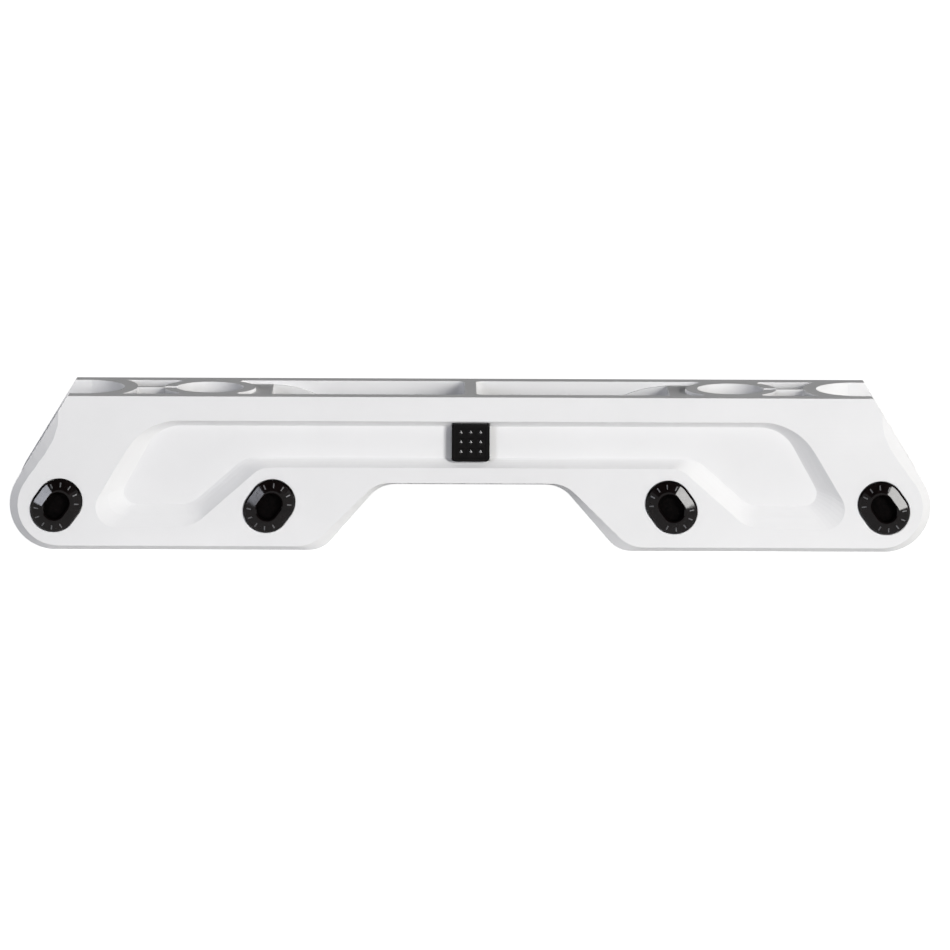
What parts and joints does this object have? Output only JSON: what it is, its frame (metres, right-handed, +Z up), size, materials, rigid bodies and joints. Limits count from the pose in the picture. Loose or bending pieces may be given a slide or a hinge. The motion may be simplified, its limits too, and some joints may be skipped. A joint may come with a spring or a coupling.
{
  "type": "inline skate frame",
  "caption": "Moulded inline skate frame with a centre grind groove, round boot sockets, keyed axles held by screws, and bushed wheel bays between its side walls.",
  "frame": {"origin": "middle of the top plane, on the rib across the channel, where the boot's sole rests", "axes": "+X along the frame, +Z up out of the top plane, +Y towards the side of the axle screws"},
  "size_m": [0.2892, 0.0478, 0.0486],
  "materials": {
    "frame_plastic": "satin",
    "axle_black": "gloss",
    "screw_steel": "satin",
    "washer_steel": "satin",
    "bush_metal": "satin",
    "badge_black": "gloss"
  },
  "bodies": {
    "frame": {"frame_body": "frame_plastic", "bush_near_1": "bush_metal", "bush_near_2": "bush_metal", "bush_near_3": "bush_metal", "bush_near_4": "bush_metal", "bush_far_1": "bush_metal", "bush_far_2": "bush_metal", "bush_far_3": "bush_metal", "bush_far_4": "bush_metal", "badge_near": "badge_black", "badge_far": "badge_black"},
    "axle_sleeve_1": {"axle_sleeve_1": "axle_black"},
    "axle_washer_1": {"axle_washer_1": "washer_steel"},
    "axle_screw_1": {"axle_screw_1": "screw_steel"},
    "axle_sleeve_2": {"axle_sleeve_2": "axle_black"},
    "axle_washer_2": {"axle_washer_2": "washer_steel"},
    "axle_screw_2": {"axle_screw_2": "screw_steel"},
    "axle_sleeve_3": {"axle_sleeve_3": "axle_black"},
    "axle_washer_3": {"axle_washer_3": "washer_steel"},
    "axle_screw_3": {"axle_screw_3": "screw_steel"},
    "axle_sleeve_4": {"axle_sleeve_4": "axle_black"},
    "axle_washer_4": {"axle_washer_4": "washer_steel"},
    "axle_screw_4": {"axle_screw_4": "screw_steel"}
  },
  "joints": [
    {"name": "axle_1_pull", "type": "slide", "parent": "frame", "child": "axle_sleeve_1", "axis": [0, -1, 0], "range_m": [0, 0.038]},
    {"name": "washer_1_lift", "type": "slide", "parent": "frame", "child": "axle_washer_1", "axis": [0, 1, 0], "range_m": [0, 0.0121]},
    {"name": "screw_1_turn", "type": "hinge", "parent": "axle_washer_1", "child": "axle_screw_1", "pos_m": [-0.1298, 0.02025, -0.03425], "axis": [0, 1, 0], "range_deg": [0, 4320]},
    {"name": "axle_2_pull", "type": "slide", "parent": "frame", "child": "axle_sleeve_2", "axis": [0, -1, 0], "range_m": [0, 0.038]},
    {"name": "washer_2_lift", "type": "slide", "parent": "frame", "child": "axle_washer_2", "axis": [0, 1, 0], "range_m": [0, 0.0121]},
    {"name": "screw_2_turn", "type": "hinge", "parent": "axle_washer_2", "child": "axle_screw_2", "pos_m": [-0.0631, 0.02025, -0.03425], "axis": [0, 1, 0], "range_deg": [0, 4320]},
    {"name": "axle_3_pull", "type": "slide", "parent": "frame", "child": "axle_sleeve_3", "axis": [0, -1, 0], "range_m": [0, 0.038]},
    {"name": "washer_3_lift", "type": "slide", "parent": "frame", "child": "axle_washer_3", "axis": [0, 1, 0], "range_m": [0, 0.0121]},
    {"name": "screw_3_turn", "type": "hinge", "parent": "axle_washer_3", "child": "axle_screw_3", "pos_m": [0.0631, 0.02025, -0.03425], "axis": [0, 1, 0], "range_deg": [0, 4320]},
    {"name": "axle_4_pull", "type": "slide", "parent": "frame", "child": "axle_sleeve_4", "axis": [0, -1, 0], "range_m": [0, 0.038]},
    {"name": "washer_4_lift", "type": "slide", "parent": "frame", "child": "axle_washer_4", "axis": [0, 1, 0], "range_m": [0, 0.0121]},
    {"name": "screw_4_turn", "type": "hinge", "parent": "axle_washer_4", "child": "axle_screw_4", "pos_m": [0.1298, 0.02025, -0.03425], "axis": [0, 1, 0], "range_deg": [0, 4320]}
  ],
  "couplings": [
    {"joint": "washer_1_lift", "follows": "screw_1_turn", "m_per_rad": 0.00015915},
    {"joint": "washer_2_lift", "follows": "screw_2_turn", "m_per_rad": 0.00015915},
    {"joint": "washer_3_lift", "follows": "screw_3_turn", "m_per_rad": 0.00015915},
    {"joint": "washer_4_lift", "follows": "screw_4_turn", "m_per_rad": 0.00015915}
  ]
}
